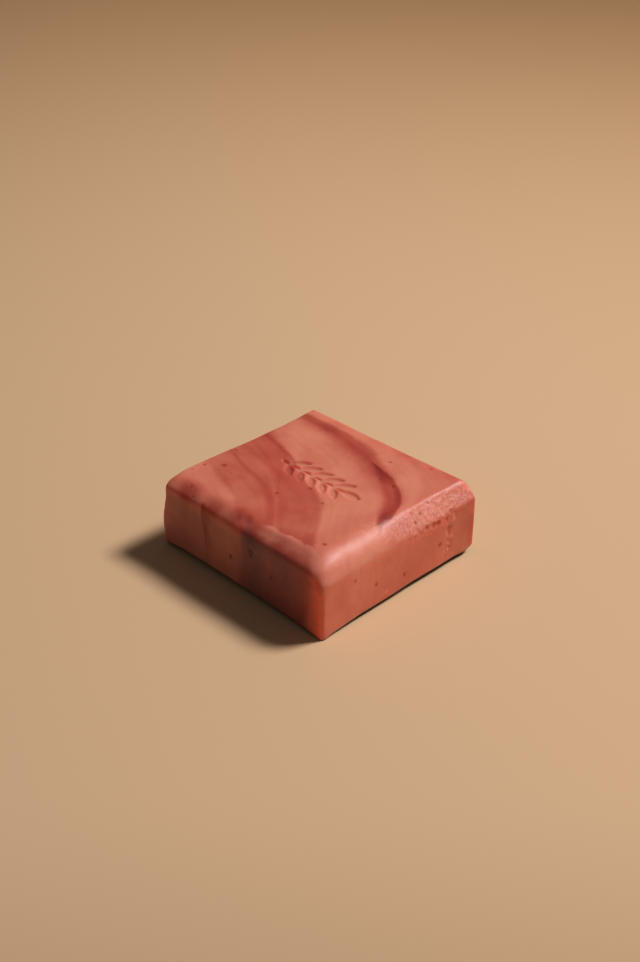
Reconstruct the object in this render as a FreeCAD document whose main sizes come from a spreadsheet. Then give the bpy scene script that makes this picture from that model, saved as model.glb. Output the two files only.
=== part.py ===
"""Hand-planed square bar of soap with a leaf sprig pressed into its top.

Millimetres. The origin is the middle of the face that the bar rests on and +Z is up.
Seen from above, right is +X, the longer side, and back is +Y.
"""
import FreeCAD, Part
import math
import os

import Sketcher

# Driving dimensions: name, value and meaning. Lengths in millimetres, angles in degrees.
SIZES = [
    ("bar_length", 69.4, "Left side to right side, at the foot"),
    ("bar_width", 64.5, "Front to back"),
    ("bar_height", 24.0, "Height of the bar"),
    ("upright_radius", 1.4, "Rounding of the four upright edges"),
    ("right_in_front", 6.0, "Planed right edge, width on top at the front"),
    ("right_in_back", 4.3, "Planed right edge, width on top at the back"),
    ("right_angle", 48.0, "Planed right edge, slope below the top"),
    ("front_in_left", 4.0, "Planed front edge, width on top at the left"),
    ("front_in_right", 6.2, "Planed front edge, width on top at the right"),
    ("front_angle", 29.0, "Planed front edge, slope below the top"),
    ("left_lean", 1.2, "How far the left side leans in from its foot to the top"),
    ("left_lean_drop", 22.0, "Height of the leaning part of the left side, from the top"),
    ("left_in", 0.7, "Planed left edge, width on top"),
    ("left_angle", 40.0, "Planed left edge, slope below the top"),
    ("back_in", 1.7, "Planed back edge, width on top"),
    ("back_angle", 38.0, "Planed back edge, slope below the top"),
    ("foot_in", 2.2, "Worn foot edge, width underneath at the left and the back"),
    ("foot_angle", 28.0, "Worn foot edge, slope above the underside at the left and the back"),
    ("right_foot_in_front", 1.3, "Worn right foot edge, width underneath at the front"),
    ("right_foot_in_back", 3.0, "Worn right foot edge, width underneath at the back"),
    ("right_foot_angle", 26.0, "Worn right foot edge, slope above the underside"),
    ("front_foot_in_left", 3.0, "Worn front foot edge, width underneath at the left"),
    ("front_foot_in_right", 0.9, "Worn front foot edge, width underneath at the right"),
    ("front_foot_angle", 38.0, "Worn front foot edge, slope above the underside"),
    ("chip_reach", 4.4, "Broken foot corner, depth along the diagonal"),
    ("chip_rise", 3.0, "Broken foot corner, height on the upright edge"),
    ("mark_depth", 0.7, "Depth of the pressed sprig"),
    ("stem_start", -16.3, "Left end of the stem, from the middle of the bar"),
    ("stem_line", 1.0, "Line of the stem, from the middle of the bar"),
    ("stem_length", 26.0, "Length of the stem"),
    ("stem_width", 0.9, "Width of the stem"),
    ("leaf_length", 7.6, "Length of a side leaf"),
    ("leaf_width", 2.5, "Width of a side leaf"),
    ("leaf_angle", 38.0, "Angle between a side leaf and the stem"),
    ("leaf_start", 2.6, "From the left end of the stem to the first pair of leaves"),
    ("leaf_pitch", 4.7, "From one pair of leaves to the next"),
    ("leaf_pairs", 5, "Number of pairs of leaves"),
    ("tip_length", 7.4, "Length of the leaf at the end of the stem"),
    ("tip_width", 3.0, "Width of the leaf at the end of the stem"),
]

# The places of the bar's faces.
RIGHT, LEFT = "Sizes.bar_length / 2", "-Sizes.bar_length / 2"
BACK, FRONT = "Sizes.bar_width / 2", "-Sizes.bar_width / 2"
TOP, FLOOR = "Sizes.bar_height", "0"

# Each side: the plane of the sections across its edges, its place in that plane, the way
# from there into the bar, and the two ends of its edges along the plane's normal. That
# normal points forwards on XZ, so the front end comes first there, and right on YZ.
SIDES = {
    "Right": ("XZ_Plane", RIGHT, -1, (BACK, FRONT)),
    "Front": ("YZ_Plane", FRONT, 1, (LEFT, RIGHT)),
    "Left": ("XZ_Plane", LEFT, 1, (BACK, FRONT)),
    "Back": ("YZ_Plane", BACK, -1, (LEFT, RIGHT)),
}

# Each planed top edge and worn foot edge: the sizes that add up to its width, at both ends,
# and its slope. The left one is planed inwards of where the leaning side reaches the top.
TOP_EDGES = [
    ("Right", (["right_in_front"], ["right_in_back"]), "right_angle"),
    ("Front", (["front_in_left"], ["front_in_right"]), "front_angle"),
    ("Left", (["left_lean", "left_in"], ["left_lean", "left_in"]), "left_angle"),
    ("Back", (["back_in"], ["back_in"]), "back_angle"),
]
FOOT_EDGES = [
    ("Right", (["right_foot_in_front"], ["right_foot_in_back"]), "right_foot_angle"),
    ("Front", (["front_foot_in_left"], ["front_foot_in_right"]), "front_foot_angle"),
    ("Left", (["foot_in"], ["foot_in"]), "foot_angle"),
    ("Back", (["foot_in"], ["foot_in"]), "foot_angle"),
]

# The ends of a sketch's line or arc, and its two axes. The level one starts at its origin.
START, END = range(1, 3)
AXIS, UPRIGHT_AXIS = -1, -2


def make_sheet(doc):
    """Put the driving dimensions into a spreadsheet whose cells carry their names."""
    sheet = doc.addObject("Spreadsheet::Sheet", "Sizes")
    for row, (name, value, meaning) in enumerate(SIZES, start=1):
        sheet.set(f"A{row}", name)
        sheet.set(f"B{row}", str(value))
        sheet.set(f"C{row}", meaning)
        sheet.setAlias(f"B{row}", name)
    doc.recompute()
    return sheet


def place_sketch(body, name, role, moves, turn=0.0):
    """Attach a sketch to an origin plane, moved by expressions and turned about its upright."""
    sketch = body.newObject("Sketcher::SketchObject", name)
    plane = next(feature for feature in body.Origin.OriginFeatures if feature.Role == role)
    sketch.AttachmentSupport = [(plane, "")]
    sketch.MapMode = "FlatFace"
    upright = FreeCAD.Vector(0, 1, 0)
    sketch.AttachmentOffset = FreeCAD.Placement(FreeCAD.Vector(), FreeCAD.Rotation(upright, turn))
    for direction, expression in zip("xyz", moves):
        sketch.setExpression(f"AttachmentOffset.Base.{direction}", expression)
    return sketch


def bind(sketch, name, expression, *constraint):
    """Add a dimension to a sketch, named and bound to the sheet."""
    number = sketch.addConstraint(Sketcher.Constraint(*constraint))
    sketch.renameConstraint(number, name)
    sketch.setExpression(f"Constraints.{name}", expression)


def draw_loop(sketch, points):
    """Draw a closed outline of straight lines and join their ends."""
    corners = [FreeCAD.Vector(x, y, 0) for x, y in points]
    for start, end in zip(corners, corners[1:] + corners[:1]):
        sketch.addGeometry(Part.LineSegment(start, end))
    for line in range(len(corners)):
        following = (line + 1) % len(corners)
        sketch.addConstraint(Sketcher.Constraint("Coincident", line, END, following, START))


def draw_rectangle(sketch, left, bottom, right, top):
    """Draw a level rectangle: lines 0 bottom, 1 right, 2 top, 3 left."""
    draw_loop(sketch, [(left, bottom), (right, bottom), (right, top), (left, top)])
    for line in (0, 2):
        sketch.addConstraint(Sketcher.Constraint("Horizontal", line))
    for line in (1, 3):
        sketch.addConstraint(Sketcher.Constraint("Vertical", line))


def draw_leaf(sketch, name, start, end, width, length_size, width_size):
    """Draw a leaf between two points: two equal arcs that meet at its ends.

    Returns the number of the hidden centre line, which has the leaf's length.
    """
    base = FreeCAD.Vector(*start, 0)
    tip = FreeCAD.Vector(*end, 0)
    middle = (base + tip) / 2
    along = tip - base
    across = FreeCAD.Vector(-along.y, along.x, 0).normalize() * (width / 2)
    centre_line = sketch.addGeometry(Part.LineSegment(base, tip), True)
    bind(sketch, f"{name}_length", length_size, "Distance", centre_line, along.Length)
    radius = f"({length_size} * {length_size} / 4 + {width_size} * {width_size} / 4) / {width_size}"
    for number, side in enumerate((across, -across)):
        arc = sketch.addGeometry(Part.Arc(base, middle + side, tip))
        # An arc always runs anticlockwise, so one side's arc starts at the tip.
        first, last = (START, END) if number else (END, START)
        sketch.addConstraint(Sketcher.Constraint("Coincident", arc, first, centre_line, START))
        sketch.addConstraint(Sketcher.Constraint("Coincident", arc, last, centre_line, END))
        curve = (along.Length**2 / 4 + width**2 / 4) / width
        bind(sketch, f"{name}_curve_{number}", radius, "Radius", arc, curve)
    return centre_line


def make_block(body, value):
    """The plain block that the bar starts as, with rounded upright edges."""
    outline = place_sketch(body, "Outline", "XY_Plane", ("0", "0", "0"))
    half_length = value("bar_length") / 2
    half_width = value("bar_width") / 2
    draw_rectangle(outline, -half_length, -half_width, half_length, half_width)
    outline.addConstraint(Sketcher.Constraint("Symmetric", 0, START, 2, START, AXIS, START))
    bind(outline, "length", "Sizes.bar_length", "Distance", 0, value("bar_length"))
    bind(outline, "width", "Sizes.bar_width", "Distance", 1, value("bar_width"))
    block = body.newObject("PartDesign::Pad", "Block")
    block.Profile = outline
    block.setExpression("Length", "Sizes.bar_height")
    outline.Document.recompute()

    uprights = [
        f"Edge{number}"
        for number, edge in enumerate(block.Shape.Edges, start=1)
        if abs(edge.Vertexes[0].Z - edge.Vertexes[-1].Z) > value("bar_height") / 2
    ]
    rounding = body.newObject("PartDesign::Fillet", "UprightRounding")
    rounding.Base = (block, uprights)
    rounding.setExpression("Radius", "Sizes.upright_radius")


def draw_corner(sketch, across, up, across_size, up_size):
    """Draw a right triangle with its right angle at the sketch's origin.

    across and up are its legs, signed the way they point from there, and across_size and
    up_size are the expressions of their lengths.
    """
    draw_loop(sketch, [(0, 0), (across, 0), (0, up)])
    sketch.addConstraint(Sketcher.Constraint("Coincident", 0, START, AXIS, START))
    sketch.addConstraint(Sketcher.Constraint("Horizontal", 0))
    sketch.addConstraint(Sketcher.Constraint("Vertical", 2))
    bind(sketch, "across", across_size, "Distance", 0, abs(across))
    bind(sketch, "up", up_size, "Distance", 2, abs(up))


def cut_wedge(body, name, sections):
    """Cut away what lies between two sections."""
    wedge = body.newObject("PartDesign::SubtractiveLoft", name)
    wedge.Profile = sections[0]
    wedge.Sections = sections[1:]
    wedge.Ruled = True


def shave_edge(body, name, role, corner, ends, insets, angle, ways, value):
    """Shave one long edge flat, from one end's section to the other's.

    corner is the edge's place in the plane of the sections, ends are the places of the two
    sections along that plane's normal, and insets names the sizes that add up to the width
    shaved off at each. ways are +1 or -1: from the corner into the bar, and from it along
    the side.
    """
    sections = []
    for number, (end, inset) in enumerate(zip(ends, insets)):
        section = place_sketch(body, f"{name}Section{number}", role, (*corner, end))
        width = sum(value(size) for size in inset)
        width_size = " + ".join(f"Sizes.{size}" for size in inset)
        height = width * math.tan(math.radians(value(angle)))
        height_size = f"({width_size}) * tan(Sizes.{angle} * 1 deg)"
        draw_corner(section, ways[0] * width, ways[1] * height, width_size, height_size)
        sections.append(section)
    cut_wedge(body, name, sections)


def lean_left_side(body, value):
    """Cut the left side so that it leans in towards the top."""
    role, across, into, ends = SIDES["Left"]
    sections = []
    for number, end in enumerate(ends):
        section = place_sketch(body, f"LeanSection{number}", role, (across, TOP, end))
        lean, drop = value("left_lean"), value("left_lean_drop")
        draw_corner(section, into * lean, -drop, "Sizes.left_lean", "Sizes.left_lean_drop")
        sections.append(section)
    cut_wedge(body, "LeftLean", sections)


def shave_edges(body, value):
    """Plane the four top edges by hand-cut amounts and wear the four foot edges."""
    for kind, edges, height, up in (("Bevel", TOP_EDGES, TOP, -1), ("Foot", FOOT_EDGES, FLOOR, 1)):
        for name, insets, angle in edges:
            role, across, into, ends = SIDES[name]
            corner = (across, height)
            shave_edge(body, f"{name}{kind}", role, corner, ends, insets, angle, (into, up), value)


def break_corner(body, value):
    """Break off the foot corner between the right and back sides."""
    corner = ("Sizes.bar_length / 2", "0", "-Sizes.bar_width / 2")
    section = place_sketch(body, "ChipSection", "XZ_Plane", corner, turn=45.0)
    draw_corner(section, -value("chip_reach"), value("chip_rise"), "Sizes.chip_reach", "Sizes.chip_rise")
    chip = body.newObject("PartDesign::Pocket", "FootChip")
    chip.Profile = section
    chip.Midplane = True
    chip.setExpression("Length", "4 * Sizes.chip_reach")


def press_into_top(body, name, sketch):
    """Press a sketch's outlines into the top by the depth of the mark."""
    pocket = body.newObject("PartDesign::Pocket", name)
    pocket.Profile = sketch
    pocket.Reversed = False
    pocket.setExpression("Length", "Sizes.mark_depth")
    return pocket


def press_sprig(body, value):
    """Press the sprig into the top: a stem, pairs of side leaves and a leaf at its end."""
    stem_place = ("Sizes.stem_start", "Sizes.stem_line", "Sizes.bar_height")
    stem = place_sketch(body, "StemOutline", "XY_Plane", stem_place)
    half_stem = value("stem_width") / 2
    # Each leaf starts inside the stem, so that their hollows run into each other.
    root = value("stem_width") / 4
    draw_rectangle(stem, 0, -half_stem, value("stem_length"), half_stem)
    stem.addConstraint(Sketcher.Constraint("Symmetric", 3, START, 3, END, AXIS, START))
    bind(stem, "length", "Sizes.stem_length", "Distance", 0, value("stem_length"))
    bind(stem, "width", "Sizes.stem_width", "Distance", 1, value("stem_width"))
    press_into_top(body, "Stem", stem)

    pair_place = ("Sizes.stem_start + Sizes.leaf_start", "Sizes.stem_line", "Sizes.bar_height")
    pair = place_sketch(body, "LeafPairOutline", "XY_Plane", pair_place)
    direction = FreeCAD.Vector(value("leaf_length"), 0, 0)
    for name, side in (("back_leaf", 1), ("front_leaf", -1)):
        turned = FreeCAD.Rotation(FreeCAD.Vector(0, 0, 1), side * value("leaf_angle")).multVec(direction)
        tip = (turned.x, side * root + turned.y)
        line = draw_leaf(
            pair, name, (0, side * root), tip, value("leaf_width"), "Sizes.leaf_length", "Sizes.leaf_width"
        )
        pair.addConstraint(Sketcher.Constraint("PointOnObject", line, START, UPRIGHT_AXIS))
        bind(pair, f"{name}_root", "Sizes.stem_width / 4", "Distance", AXIS, START, line, START, root)
        # Angles are counted anticlockwise, so the front leaf's runs from the leaf to the axis.
        ends = (AXIS, START, line, START) if side > 0 else (line, START, AXIS, START)
        angle = FreeCAD.Units.Quantity(f"{value('leaf_angle')} deg")
        bind(pair, f"{name}_angle", "Sizes.leaf_angle * 1 deg", "Angle", *ends, angle)
    leaves = press_into_top(body, "LeafPair", pair)
    row = body.newObject("PartDesign::LinearPattern", "LeafPairs")
    row.Originals = [leaves]
    row.Direction = (pair, ["H_Axis"])
    row.setExpression("Occurrences", "Sizes.leaf_pairs")
    row.setExpression("Length", "Sizes.leaf_pitch * (Sizes.leaf_pairs - 1)")
    body.Tip = row

    tip_start = "Sizes.stem_start + Sizes.stem_length - Sizes.stem_width / 2"
    tip_place = (tip_start, "Sizes.stem_line", "Sizes.bar_height")
    end_leaf = place_sketch(body, "TipLeafOutline", "XY_Plane", tip_place)
    line = draw_leaf(
        end_leaf, "leaf", (0, 0), (value("tip_length"), 0), value("tip_width"),
        "Sizes.tip_length", "Sizes.tip_width",
    )
    end_leaf.addConstraint(Sketcher.Constraint("Coincident", line, START, AXIS, START))
    end_leaf.addConstraint(Sketcher.Constraint("Horizontal", line))
    press_into_top(body, "TipLeaf", end_leaf)


def make_bar(doc, sheet):
    """The bar of soap, one solid."""
    def value(name):
        return float(sheet.get(name))

    body = doc.addObject("PartDesign::Body", "SoapBar")
    body.Label = "soap_bar"
    make_block(body, value)
    lean_left_side(body, value)
    shave_edges(body, value)
    break_corner(body, value)
    press_sprig(body, value)
    doc.recompute()
    return body


def check_document(doc, body):
    """Stop if an object failed, a cut took nothing off, or the bar isn't one sound solid."""
    for item in doc.Objects:
        if "Invalid" in item.State or "Error" in item.State:
            raise RuntimeError(f"{item.Name} failed: {item.State}")
    shape = body.Shape
    if shape.isNull() or not shape.isValid() or len(shape.Solids) != 1:
        raise RuntimeError("the bar isn't one valid solid")
    features = [item for item in body.Group if item.isDerivedFrom("PartDesign::Feature")]
    for before, after in zip(features, features[1:]):
        if after.Shape.Volume >= before.Shape.Volume:
            raise RuntimeError(f"{after.Name} cut nothing")


def main():
    os.makedirs("parts", exist_ok=True)
    doc = FreeCAD.newDocument("SoapBar")
    sheet = make_sheet(doc)
    body = make_bar(doc, sheet)
    check_document(doc, body)
    body.Shape.exportStep(f"parts/{body.Label}.step")
    box = body.Shape.BoundBox
    print(f"volume {body.Shape.Volume:.0f} mm3")
    print(f"box {box.XLength:.2f} x {box.YLength:.2f} x {box.ZLength:.2f} mm")


main()
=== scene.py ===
"""A marbled bar of handmade soap on a plain floor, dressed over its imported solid.

Everything is in metres. Seen from above, right is +X and back is +Y. Places on the bar
are written in millimetres from the middle of its underside.
"""
import math

import bpy
import numpy as np
from mathutils import Matrix, Vector


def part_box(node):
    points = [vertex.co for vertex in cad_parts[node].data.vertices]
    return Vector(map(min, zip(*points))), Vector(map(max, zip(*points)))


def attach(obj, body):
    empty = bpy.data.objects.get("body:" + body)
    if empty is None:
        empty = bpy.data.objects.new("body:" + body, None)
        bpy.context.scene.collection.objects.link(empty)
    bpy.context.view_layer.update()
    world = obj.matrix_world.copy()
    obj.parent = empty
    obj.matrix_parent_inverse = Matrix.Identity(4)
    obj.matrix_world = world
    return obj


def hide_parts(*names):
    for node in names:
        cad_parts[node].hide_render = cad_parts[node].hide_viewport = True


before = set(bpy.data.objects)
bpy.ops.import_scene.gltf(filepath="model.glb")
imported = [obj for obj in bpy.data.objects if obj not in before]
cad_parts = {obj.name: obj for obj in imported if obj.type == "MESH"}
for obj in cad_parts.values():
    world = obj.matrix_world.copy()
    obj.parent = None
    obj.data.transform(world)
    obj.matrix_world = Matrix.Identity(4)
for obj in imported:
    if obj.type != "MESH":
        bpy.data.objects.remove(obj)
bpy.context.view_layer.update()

bl_info = {
    "name": "Marbled soap bar",
    "version": (1, 0, 0),
    "blender": (4, 5, 0),
    "location": "View3D > Sidebar > Soap",
    "description": "Dresses a bar of soap with planed edges, marbling and a pressed sprig",
    "category": "Object",
}

MM = 0.001
BAR_LOW, BAR_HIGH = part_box("soap_bar")
RIGHT = BAR_HIGH.x / MM
BACK = BAR_HIGH.y / MM
HEIGHT = BAR_HIGH.z / MM

# The planed right edge, as the solid has it: its width on top at the front and the back, and its slope.
RIGHT_BEVEL = (6.0, 4.3)
RIGHT_SLOPE = math.tan(math.radians(48))
# How far its front part swells out, and the width over which it does.
SWELL = 1.1
SWELL_WIDTH = 4.4
# Where it starts to be torn, and where it is torn all over, from front to back.
TORN_FROM = (-6, 8)
# The worn front edge: places along it, each with its width on top.
FRONT_BEVEL = ((-35, -6, 5, 15.5, 28.5), (4.3, 4.2, 5.3, 6.3, 6.1))
# The pressed sprig: its middle, and how far it reaches along and across with its margin.
SPRIG = (-0.5, 1)
SPRIG_REACH = (24, 14)
# A nick in the worn front edge, and a smear of shavings on the planed one, each with its radius.
NICK = (0.6, 3.6 - BACK, HEIGHT - 0.6, 2.6)
SMEAR = (31.4, -7, 22, 7)

# The lamp: its way round the bar from +X and its height, in degrees, and its distance in metres.
KEY_AZIMUTH = 62
KEY_ELEVATION = 52
KEY_DISTANCE = 1.6
SKY_TINT = (1.0, 0.94, 0.87, 1.0)
FLOOR_WIDTH = 6.0

# The marbling seen from above. Each sheet of colour follows a line from left to right and lies
# on its front side: the line's corners, each with the sheet's width there.
SHEETS = {
    "band": [
        (-42, 27.2, 4.2), (-31.5, 27.2, 4.6), (-21.2, 27.4, 5.4), (-11.2, 26.8, 6.6), (-5, 25.8, 7.2),
        (0, 24.6, 7.6), (4.9, 22, 7.6), (9, 19.8, 7.2), (12.4, 18.2, 6.8), (16.5, 16.2, 6.6),
        (20.5, 13.8, 6.4), (24, 10.9, 6), (26.6, 7.8, 5.6), (28.3, 4.4, 5.2), (29.4, 0.8, 4),
        (30, -2.2, 2.8), (30.8, -5, 1.4), (36, -8, 0.3), (60, -9, 0.1),
    ],
    "band_rim": [
        (-42, 26, 0.1), (-4, 22, 0.2), (2, 20, 0.3), (6, 19, 0.8), (9, 18.4, 1.8), (12, 17.8, 2.4),
        (16.5, 16, 2.2), (20.5, 13.6, 2), (24, 10.7, 2), (26.6, 7.6, 2.2), (28.3, 4.2, 2.4),
        (29.4, 0.8, 2.6), (29.9, -2.2, 2.2), (30.4, -4.6, 0.8), (36, -8, 0.1), (60, -9, 0.1),
    ],
    "band_core": [
        (-42, 26, 1), (-31.5, 26.4, 2), (-21.2, 26.6, 3.4), (-13, 25.8, 4), (-7, 24.4, 4.2),
        (0, 22.4, 3.6), (6, 19.4, 2.8), (12, 16, 2.4), (17, 12.8, 2.2), (22, 8.8, 2.2),
        (25.8, 4.2, 2.4), (27.8, -0.4, 2.2), (29.2, -4, 0.6), (36, -8, 0.1), (60, -9, 0.1),
    ],
    "red_vein": [
        (-42, 11.6, 3.4), (-32, 10.8, 3.2), (-26.6, 9, 2.8), (-22.8, 7.6, 2.4), (-19.3, 6.2, 2),
        (-15, 4.4, 1.2), (-10, 1.6, 0.5), (-4, -1.2, 0.2), (28, -32, 0.1), (34, -50, 0.1),
    ],
    "dark_streak": [
        (-42, -3, 0.6), (-32, -5.8, 1), (-24.3, -8.4, 1.5), (-18.9, -10, 1.6), (-12.3, -11.2, 1.6),
        (-6, -13.6, 2), (-1, -16.6, 2.4), (4, -20.6, 2.6), (8.4, -25.4, 3), (11.4, -29, 3),
        (15, -50, 3),
    ],
    "pale_streak": [
        (-42, 2, 0.1), (-16, -6, 0.1), (-12, -8.2, 0.6), (-7.4, -10.6, 0.8), (-1.6, -15, 0.8),
        (3.4, -19.6, 0.9), (8.4, -24.6, 0.9), (12, -28.6, 0.8), (16, -50, 0.1),
    ],
    "upper_streak": [
        (-42, 5, 0.5), (-30, 2.4, 0.9), (-21, -0.6, 1.4), (-14, -4, 1.2), (-8, -7.6, 0.6),
        (20, -40, 0.1),
    ],
    "front_vein": [
        (-28, -16, 0.05), (-20, -26, 0.05), (-17.2, -30, 0.08), (-15.8, -32.2, 2.8), (-15.2, -34, 3.2),
        (-14.6, -50, 3.2),
    ],
}

# Each sheet's softness at its line and at its far side, its fraying, and how it changes the tone.
SHEET_LOOKS = {
    "dark_streak": (0.9, 0.9, 0.8, 0.11),
    "upper_streak": (0.9, 0.9, 0.8, 0.08),
    "front_vein": (1.5, 1.5, 2.6, 0.42),
    "pale_streak": (1.6, 1.8, 0.6, -0.07),
    "red_vein": (1.2, 0.7, 0.6, 0.24),
    "band": (0.4, 0.9, 0.5, 0.31),
    "band_rim": (0.2, 1.4, 0.5, 0.28),
    "band_core": (0.9, 1.0, 0.5, 0.15),
}

# Where one colour gives way to another: lines as above, without a width.
EDGES = {
    "corner_edge": [
        (-30, 42), (-6, 34), (6.5, 29.1), (16.2, 26), (23.6, 20.6), (27.6, 14.4), (29.9, 6.5),
        (31.4, -0.6), (35, -5), (60, -6.4),
    ],
    "red_upper": [
        (-42, 10.4), (-32, 9), (-26.6, 7.4), (-22.8, 6.2), (-19.3, 5.2), (-12, 1.6), (-4, -2),
        (4.2, -4.6), (11.1, -8.8), (14.9, -13.2), (18.7, -18.2), (22.6, -23.2), (25.2, -27.5),
        (28.4, -31), (31, -34), (32, -50),
    ],
    "red_lower": [
        (-42, -16), (-31, -17), (-25.1, -18.8), (-18.9, -20.6), (-12.8, -23.1), (-8, -25.6),
        (-4.4, -28), (-1, -30.4), (1.4, -33), (2.4, -36), (2.6, -50),
    ],
    "wedge_edge": [
        (-42, 0), (-13, -6.4), (-7.4, -10), (-1.6, -14.6), (3.4, -19.4), (8.4, -24.4), (12, -28.6),
        (15, -50),
    ],
}

# Soft patches of lighter or darker soap, and of painted light and shade: place, radius and change of tone.
# On the top they are the soap's own tone; on the front edge they are painted shade, on the right side's
# face mostly painted light, and on the front side and the right back edge they mix tone with painted light
# and shade.
TONE_AND_PAINTED_LIGHT_PATCHES = [
    (-3, -21.4, 24, 4.5, -0.1), (-22, -14.5, 24, 8, 0.05), (-17, -16.5, 24, 4, 0.05),
    (-8, 12, 24, 12, 0.02), (12, 2, 24, 9, -0.03), (20, -8, 24, 9, -0.03), (-26, -24, 24, 8, -0.05),
    (-12, -25, 24, 6, -0.06), (17, -22, 24, 6, -0.07), (4, -12, 24, 6, 0.05), (27, 26, 24, 6, -0.06),
    (14, 23, 24, 6, 0.05), (-4, -32, 20, 7, -0.08), (-6, -32, 13, 8, -0.05), (-26, -32, 10, 14, 0.08),
    (-33, -32, 10, 5, -0.08), (-24, -30, 23, 7, 0.45), (-12, -30.5, 22.8, 7, 0.34),
    (-3, -30.5, 22.6, 6, 0.34), (6, -30.5, 22.4, 5, 0.18), (34, -27, 4, 6, -0.16),
    (34.7, -20, 8, 2.6, -0.1), (34.7, -24.4, 9, 2.2, 0.08), (34.7, -21, 14, 1.8, 0.06),
    (34, 16, 12, 16, -0.07), (34, -14, 12, 13, -0.09), (34, 2, 6, 5, 0.03), (34, 2, 12, 9, -0.05),
    (34.7, -30, 12, 4, -0.07), (34.7, -30, 6, 4, -0.07), (34.7, 32, 10, 6, 0.12), (32, 0, 22, 8, 0.16),
    (-30, -32, 16, 5, -0.05), (-21, -32, 7, 6, 0.05), (-30, -32, 5, 5, 0.04), (-8, -32, 6, 5, 0.05),
]

# Darker, greyer spots: painted shade on the front edge, in its nick and at the right back edge, with some
# dulled dirty soap by the crumbs: place, radius and strength.
DULL_AND_PAINTED_SHADE = [
    (6.2, -32, 16.2, 2, 0.5), (5.6, -32, 20, 3, 0.2), (-24, -29.5, 23.4, 3.6, 0.15),
    (-20, -31, 22.6, 2.6, 0.2), (1.6, -29.2, 23.3, 2, 0.4), (3.4, -31, 21.6, 2.4, 0.35),
    (-1.5, -29.4, 23.2, 2.4, 0.2), (-6, -31, 22, 4, 0.15), (34.7, 32, 12, 5, 0.25),
    (34.7, 32, 5, 5, 0.25), (34.7, 32, 19, 4, 0.2),
]
# Painted shade, with some dulled soap, on the front side: how much it darkens along its length, from left
# to right.
FRONT_DULL_AND_PAINTED_SHADE = (
    (-35, -24, -12, -9, -1, 2.5, 5.5, 10.5, 13.5, 24, 28.5, 30),
    (0.26, 0.32, 0.3, 0.26, 0.28, 0.45, 0.6, 0.56, 0.46, 0.44, 0.16, 0),
)

# Crumbs of dark herb in the soap: place and radius.
CRUMBS = [
    (-26, -14.2, 24, 0.75), (-30.6, -5.4, 24, 0.55), (-30.6, -18, 24, 0.55), (-31.2, -22.3, 24, 0.4),
    (-3.1, -13.6, 24, 0.6), (1.9, -4.9, 24, 0.6), (10.4, -8.2, 24, 0.5), (26, -22.6, 23.8, 0.6),
    (18.3, 13.6, 24, 0.55), (8.1, 23.3, 24, 0.5), (12.6, 13.9, 24, 0.4), (-21, -15.6, 24, 0.35),
    (19.6, 29, 24, 0.4), (-24.5, -28.4, 23.6, 0.45), (-21, -30.6, 22.2, 0.4), (-3.2, -32.2, 10.4, 0.8),
    (5.6, -32.2, 16.6, 0.7), (5.9, -32.2, 15.1, 0.6), (14.2, -32.2, 11.4, 0.6), (34.7, 16.6, 9.4, 0.8),
    (34.7, -10.6, 8.8, 0.6), (34.7, 1.2, 6.4, 0.75), (34.7, -19.2, 14.2, 0.5), (31.6, 10.6, 21.6, 0.5),
    (32.4, 7.4, 20.4, 0.5), (31.2, 23.5, 21.4, 0.5), (30.4, 15, 22.8, 0.4),
]

# Painted light at the front right corner: orange soap colour, as if light shone through the soap there;
# place and radius.
PAINTED_GLOWS = [(34, -32, 19, 6), (34, -32, 15, 6.5), (34, -32, 11, 6.5), (34, -32, 7, 6.5), (34, -32, 3, 6.5)]

# Pale chips of soap that cling to the torn streak on the right side: across, height and radius.
CHIPS = [
    (22.4, 15.8, 0.9), (21.8, 10.2, 0.8), (20.2, 5.8, 0.9), (18.8, 7.6, 0.5), (16.8, 2.6, 0.5),
    (-6.4, 4.2, 0.6),
]

# Hollows torn out beside them.
HOLLOWS = [
    (20.4, 13.2, 1.3), (21.6, 19, 1), (15.4, 17.4, 1), (13.6, 17.6, 1.2), (7, 19.2, 0.9),
    (10.6, 18, 1), (19.4, 17, 0.7),
]


def from_bytes(red, green, blue):
    """A colour as a picture shows it, 0 to 255, in the linear values that a shader takes."""
    def linear(level):
        share = level / 255
        return share / 12.92 if share <= 0.04045 else ((share + 0.055) / 1.055) ** 2.4
    return (linear(red), linear(green), linear(blue))


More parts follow.
